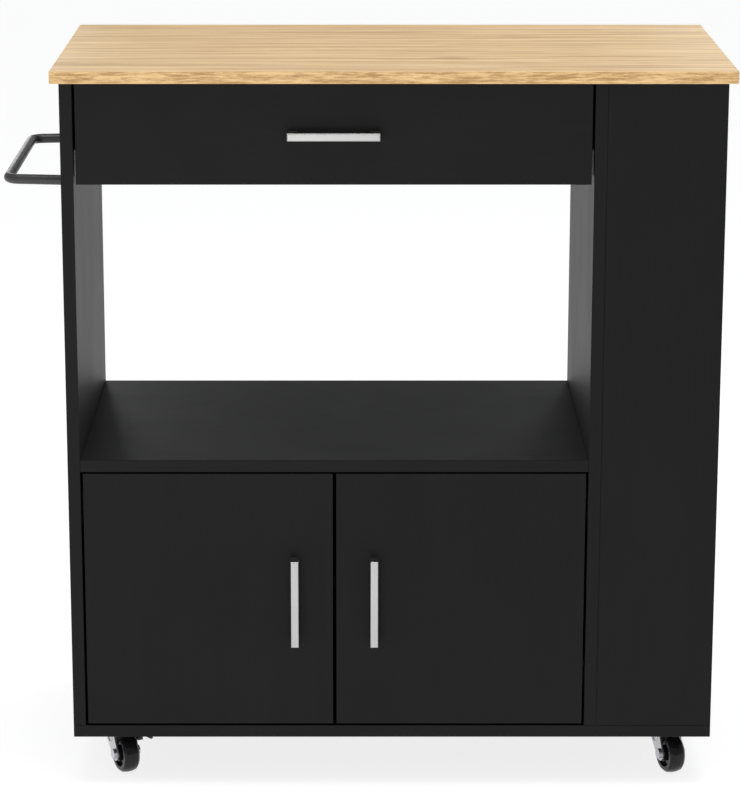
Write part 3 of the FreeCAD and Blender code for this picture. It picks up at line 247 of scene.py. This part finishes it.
LOOKS = {
    "oak_laminate": oak_laminate(),
    "charcoal_board": charcoal_board("charcoal_board_upright", UPRIGHT_GRAIN),
    "black_steel": coated("black_steel_look", (0.060, 0.060, 0.061), (0.036, 0.036, 0.037), 0.30, 0.42,
                          peel=900.0),
    "zinc_steel": plated("zinc_steel_look", (0.66, 0.66, 0.68), (0.38, 0.38, 0.40), 0.22, 0.40),
    "nickel_hinge": plated("nickel_hinge_look", (0.76, 0.74, 0.70), (0.52, 0.50, 0.47), 0.16, 0.30),
    "coated_runner": coated("coated_runner_look", (0.80, 0.80, 0.78), (0.70, 0.70, 0.68), 0.34, 0.46),
    "beech_dowel": beech(),
    "roller_plastic": coated("roller_plastic_look", (0.82, 0.82, 0.79), (0.72, 0.72, 0.69), 0.38, 0.52),
    "black_wheel": coated("black_wheel_look", (0.012, 0.012, 0.013), (0.006, 0.006, 0.007), 0.10, 0.22,
                          peel=250.0, strength=0.08, Specular_IOR_Level=0.25),
    "black_pedal": coated("black_pedal_look", (0.018, 0.018, 0.019), (0.010, 0.010, 0.011), 0.30, 0.45),
}
board_across = charcoal_board("charcoal_board_across", ACROSS_GRAIN)
# Painted shade: the horizontal handles get a darker copy of the satin nickel, and the upright handles keep
# the lighter tones.
handle_across_painted_shade = brushed("satin_nickel_across_painted_shade", NICKEL_ACROSS_PAINTED_SHADE_LIGHT, NICKEL_ACROSS_PAINTED_SHADE_DARK, "x", 0.26, 0.38)
handle_upright = brushed("satin_nickel_upright", NICKEL_LIGHT, NICKEL_DARK, "z", 0.26, 0.38)

slots = {part["node"]: part["material_slot"] for part in frame["record"]["subparts"]}
for name, node in nodes.items():
    low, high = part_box(name)
    wide = high.x - low.x > high.z - low.z
    if slots[name] == "satin_nickel":
        # Horizontal handles take the darker copy of the nickel, which is painted shade.
        look = handle_across_painted_shade if wide else handle_upright
    elif slots[name] == "charcoal_board" and wide:
        look = board_across
    else:
        look = LOOKS[slots[name]]
    node.data.materials.clear()
    node.data.materials.append(look)


# ---------------------------------------------------------------- studio

FLOOR_HALF_SIZE = 60
FLOOR_TONE = 0.42
FLOOR_GLOW = 0.81
WORLD_STRENGTH = 0.36
# Name, place, point aimed at, width, height and power in watts.
SOFTBOXES = [
    ("softbox_above", (0.2, -0.3, 2.9), (0, 0, 0.5), 2.2, 1.6, 40),
    ("softbox_front", (-0.6, -2.9, 0.32), (-0.1, -0.2, 0.8), 1.3, 0.5, 6),
    ("softbox_back_left", (-0.85, 2.2, 1.0), (0, 0, 0.45), 0.5, 0.9, 3),
    ("softbox_back_right", (0.85, 2.2, 1.0), (0, 0, 0.45), 0.5, 0.9, 2),
]
LENS, SENSOR_WIDTH = 133.2, 36
SHIFT_X, SHIFT_Y = 0.017, -0.08
EYE = (-0.011, -3.595, 1.403)
LOOK_DOWN = math.radians(13.74)


def square(name, half_size, centre):
    """A flat level square."""
    mesh = bpy.data.meshes.new(name)
    corners = [(x * half_size, y * half_size, 0) for x, y in ((-1, -1), (1, -1), (1, 1), (-1, 1))]
    mesh.from_pydata(corners, [], [(0, 1, 2, 3)])
    thing = bpy.data.objects.new(name, mesh)
    thing.location = centre
    bpy.context.scene.collection.objects.link(thing)
    return thing


def area_light(name, at, aim, width, height, power):
    light = bpy.data.lights.new(name, "AREA")
    light.shape = "RECTANGLE"
    light.size = width
    light.size_y = height
    light.energy = power
    lamp = bpy.data.objects.new(name, light)
    lamp.location = at
    lamp.rotation_euler = (Vector(aim) - Vector(at)).to_track_quat("-Z", "Y").to_euler()
    bpy.context.scene.collection.objects.link(lamp)


scene = bpy.context.scene

floor = square("studio_floor", FLOOR_HALF_SIZE, (0, 0, cad_box[0].z))
floor_look = bpy.data.materials.new("studio_floor_look")
floor_look.use_nodes = True
floor_shader = floor_look.node_tree.nodes["Principled BSDF"]
floor_shader.inputs["Base Color"].default_value = (FLOOR_TONE, FLOOR_TONE, FLOOR_TONE, 1)
floor_shader.inputs["Roughness"].default_value = 0.9
floor_shader.inputs["Specular IOR Level"].default_value = 0.1
floor_shader.inputs["Emission Color"].default_value = (1, 1, 1, 1)
floor_shader.inputs["Emission Strength"].default_value = FLOOR_GLOW
floor.data.materials.append(floor_look)

world = bpy.data.worlds.new("studio_world")
world.use_nodes = True
background = world.node_tree.nodes["Background"]
background.inputs["Color"].default_value = (0.97, 0.98, 1.0, 1)
background.inputs["Strength"].default_value = WORLD_STRENGTH
scene.world = world

for softbox in SOFTBOXES:
    area_light(*softbox)

# Tilted down with a small shift, so that the cart stays in frame when the view is turned.
camera = bpy.data.cameras.new("camera")
camera.lens = LENS
camera.sensor_width = SENSOR_WIDTH
camera.shift_x = SHIFT_X
camera.shift_y = SHIFT_Y
eye = bpy.data.objects.new("camera", camera)
eye.location = EYE
eye.rotation_euler = (math.pi / 2 - LOOK_DOWN, 0, 0)
scene.collection.objects.link(eye)
scene.camera = eye
scene.view_settings.view_transform = "Standard"
